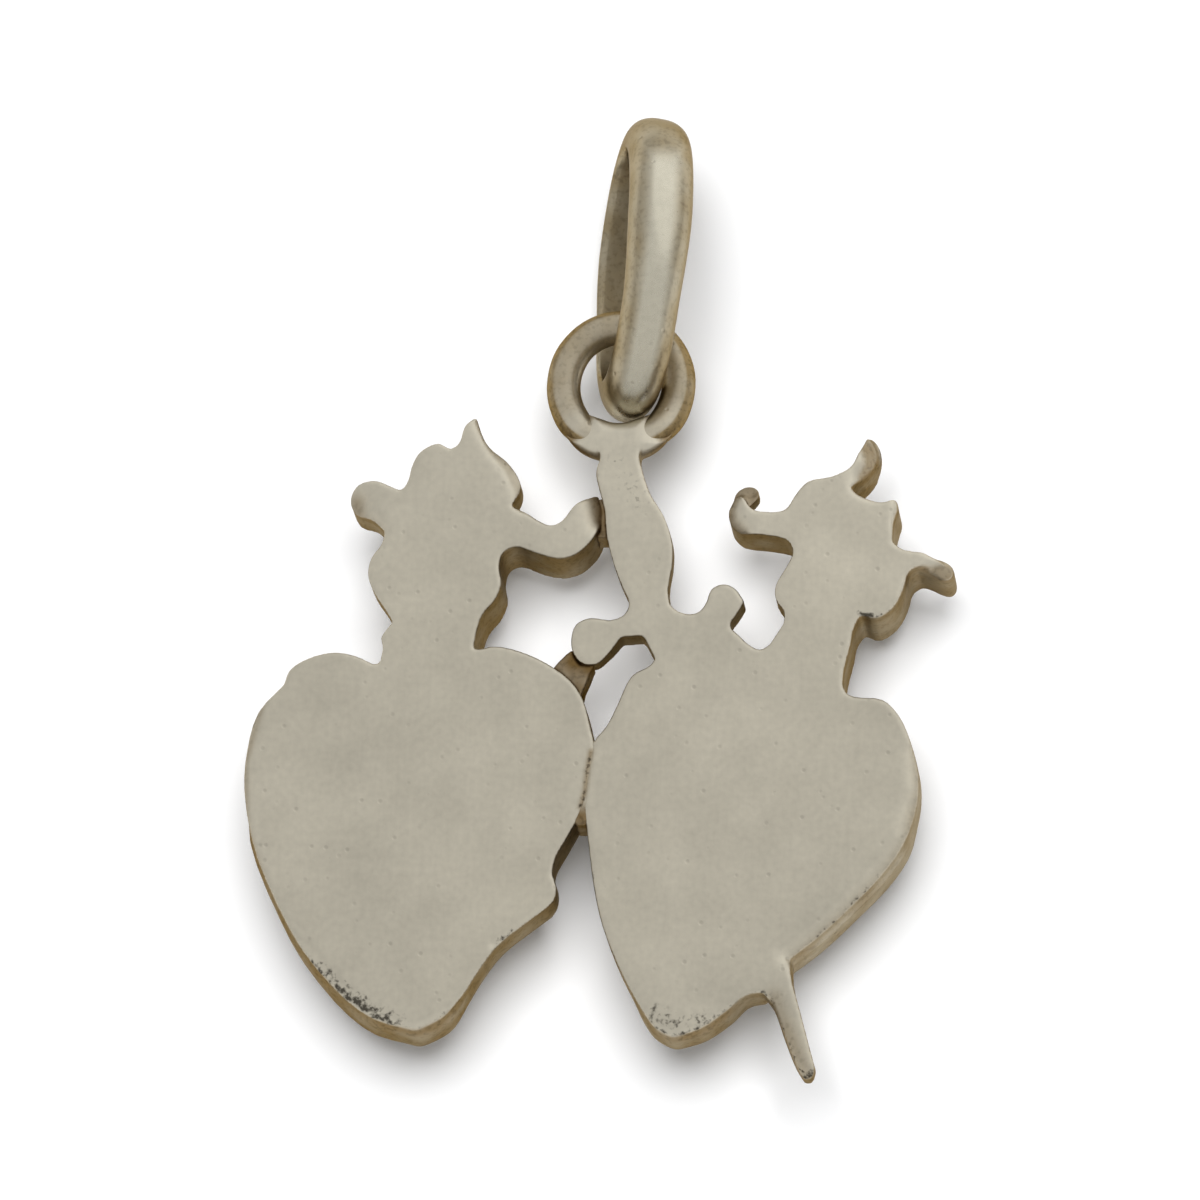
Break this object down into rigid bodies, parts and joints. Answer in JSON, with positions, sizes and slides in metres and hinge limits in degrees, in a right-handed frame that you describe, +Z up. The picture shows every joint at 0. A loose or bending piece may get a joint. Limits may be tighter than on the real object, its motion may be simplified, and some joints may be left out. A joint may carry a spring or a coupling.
{
  "type": "religious medal",
  "caption": "Small cast silver devotional pendant of paired flaming hearts with a sword, flat at the back, hung from a soldered eye ring and a loose oval bail for a chain.",
  "frame": {"origin": "under the middle of the whole medal with its bail, on the surface that it lies on face down", "axes": "+X across the medal to the right as its back is seen, +Y up the medal towards the bail, +Z up out of the flat back"},
  "size_m": [0.0196, 0.028, 0.0057],
  "materials": {
    "cast_silver": "worn satin, tarnished brown in the recesses",
    "silver_wire": "worn satin",
    "dark_solder": "tarnished"
  },
  "bodies": {
    "medal": {"left_heart": "cast_silver", "right_heart": "cast_silver", "heart_solder": "dark_solder", "flame_solder": "dark_solder", "guard_strut": "dark_solder", "eye_ring": "silver_wire", "eye_solder": "cast_silver"},
    "bail": {"bail": "silver_wire"}
  },
  "joints": [
    {"name": "bail_swing", "type": "hinge", "parent": "medal", "child": "bail", "pos_m": [0.00032, 0.00792, 0.00275], "axis": [0.9537, -0.07, -0.2924], "range_deg": [-100, 70]}
  ]
}
